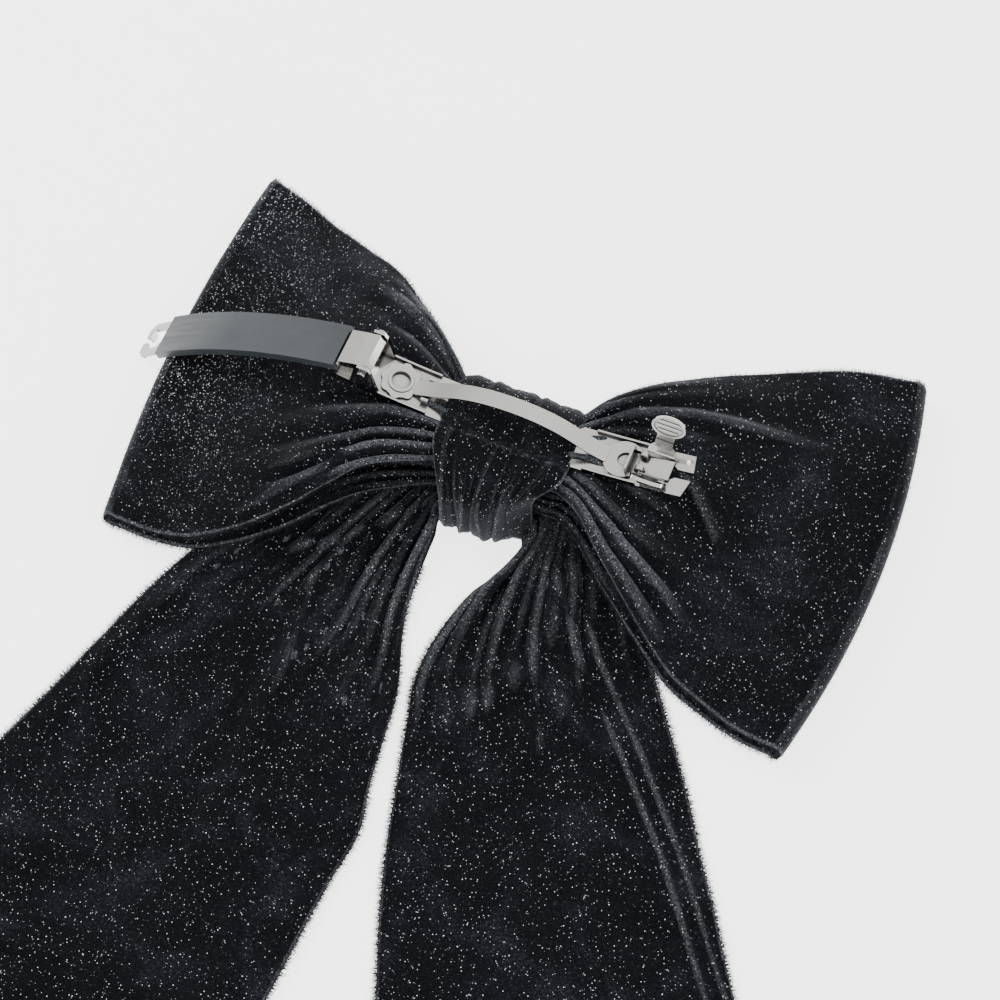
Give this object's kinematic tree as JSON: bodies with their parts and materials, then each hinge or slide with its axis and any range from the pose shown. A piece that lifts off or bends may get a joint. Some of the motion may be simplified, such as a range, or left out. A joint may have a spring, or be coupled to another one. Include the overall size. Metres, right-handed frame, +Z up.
{
  "type": "hair bow",
  "caption": "Black glitter velvet hair bow with two long tails on an 80 mm French barrette, lying face down with its clip arm open.",
  "frame": {"origin": "on the table under the middle of the knot, at the knot's flat front face", "axes": "+X along the clip from its hinge to its latch, the tails lie towards -Y, +Z up from the table to the clip"},
  "size_m": [0.224, 0.2435, 0.0338],
  "materials": {
    "nickel": "bright nickel plate",
    "sleeve_plastic": "satin",
    "velvet": "black velvet with fine glitter",
    "thread": "matte"
  },
  "bodies": {
    "bow": {"base_strip": "nickel", "tension_bar": "nickel", "latch_foot": "nickel", "knot_band": "velvet", "gather_thread": "thread", "left_loop": "velvet", "right_loop": "velvet", "left_tail": "velvet", "right_tail": "velvet"},
    "arm": {"arm_bar": "nickel", "arm_sleeve": "sleeve_plastic"},
    "latch_near": {"latch_leaf_near": "nickel"},
    "latch_far": {"latch_leaf_far": "nickel"}
  },
  "joints": [
    {"name": "arm_hinge", "type": "hinge", "parent": "bow", "child": "arm", "pos_m": [-0.0315, 0, 0.0312], "axis": [0, 1, 0], "range_deg": [0, 208], "deforming": ["tension_bar"]},
    {"name": "latch_flex_near", "type": "hinge", "parent": "bow", "child": "latch_near", "pos_m": [0.032, -0.003, 0.0267], "axis": [1, 0, 0], "range_deg": [0, 8], "stiffness_Nm_per_rad": 0.02},
    {"name": "latch_flex_far", "type": "hinge", "parent": "bow", "child": "latch_far", "pos_m": [0.032, 0.003, 0.0267], "axis": [-1, 0, 0], "range_deg": [0, 8], "stiffness_Nm_per_rad": 0.02}
  ],
  "couplings": [
    {"joint": "latch_flex_far", "follows": "latch_flex_near", "ratio": 1}
  ]
}
